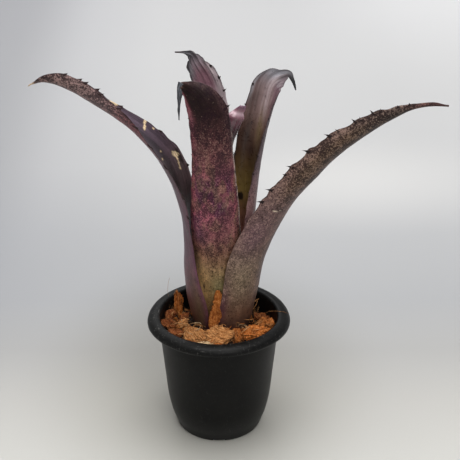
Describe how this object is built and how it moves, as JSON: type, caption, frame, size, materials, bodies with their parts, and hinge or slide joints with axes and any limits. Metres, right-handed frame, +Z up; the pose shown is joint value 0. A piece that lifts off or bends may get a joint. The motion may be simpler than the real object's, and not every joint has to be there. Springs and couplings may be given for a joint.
{
  "type": "potted bromeliad",
  "caption": "Upright rosette of channelled, spine-edged bromeliad leaves growing in a round rolled-rim plastic pot topped with loose coconut-husk chips.",
  "frame": {"origin": "centre of the pot's underside, on the surface it stands on", "axes": "+Z up through the pot; -Y is the side that the front leaf faces; +X towards the arching right leaf"},
  "size_m": [0.2737, 0.105, 0.2907],
  "materials": {
    "pot_plastic": "satin black injection-moulded plastic with a faint grain and scuffed rim",
    "potting_mix": "dark, damp, crumbly bark and husk mix",
    "stem_wood": "rough woody stem with old leaf scars",
    "leaf_bronze": "leathery leaf, bronze-mauve with fine grey scurf and dark mottling",
    "leaf_maroon": "leathery leaf, near-black to maroon with purple speckles and an olive base",
    "leaf_mauve": "leathery leaf, satin mauve-brown with pale stripes and a grey withered tip",
    "leaf_young": "glossy young leaf, rose purple",
    "husk_orange": "fibrous orange-brown coconut husk",
    "husk_tan": "fibrous tan coconut husk",
    "husk_brown": "fibrous red-brown coconut husk",
    "husk_cream": "pale splinter of husk",
    "husk_fibre": "dry straw-coloured husk fibre"
  },
  "bodies": {
    "root": {"pot": "pot_plastic", "potting_mix": "potting_mix", "stem_base": "stem_wood", "leaf_left": "leaf_bronze", "leaf_right": "leaf_bronze", "leaf_front": "leaf_maroon", "leaf_back_left": "leaf_mauve", "leaf_back_right": "leaf_mauve", "leaf_centre_young": "leaf_young", "husk_chip_01": "husk_orange", "husk_chip_02": "husk_brown", "husk_chip_03": "husk_brown", "husk_chip_04": "husk_tan", "husk_chip_05": "husk_brown", "husk_chip_06": "husk_tan", "husk_chip_07": "husk_cream", "husk_chip_08": "husk_tan", "husk_chip_09": "husk_orange", "husk_chip_10": "husk_orange", "husk_chip_11": "husk_orange", "husk_chip_12": "husk_brown", "husk_chip_13": "husk_orange", "husk_chip_14": "husk_brown", "husk_chip_15": "husk_orange", "husk_chip_16": "husk_brown", "husk_chip_17": "husk_brown", "husk_chip_18": "husk_brown", "husk_chip_19": "husk_brown", "husk_chip_20": "husk_tan", "husk_chip_21": "husk_orange", "husk_chip_22": "husk_brown", "husk_fibre_01": "husk_fibre", "husk_fibre_02": "husk_fibre", "husk_fibre_03": "husk_fibre"}
  },
  "joints": []
}
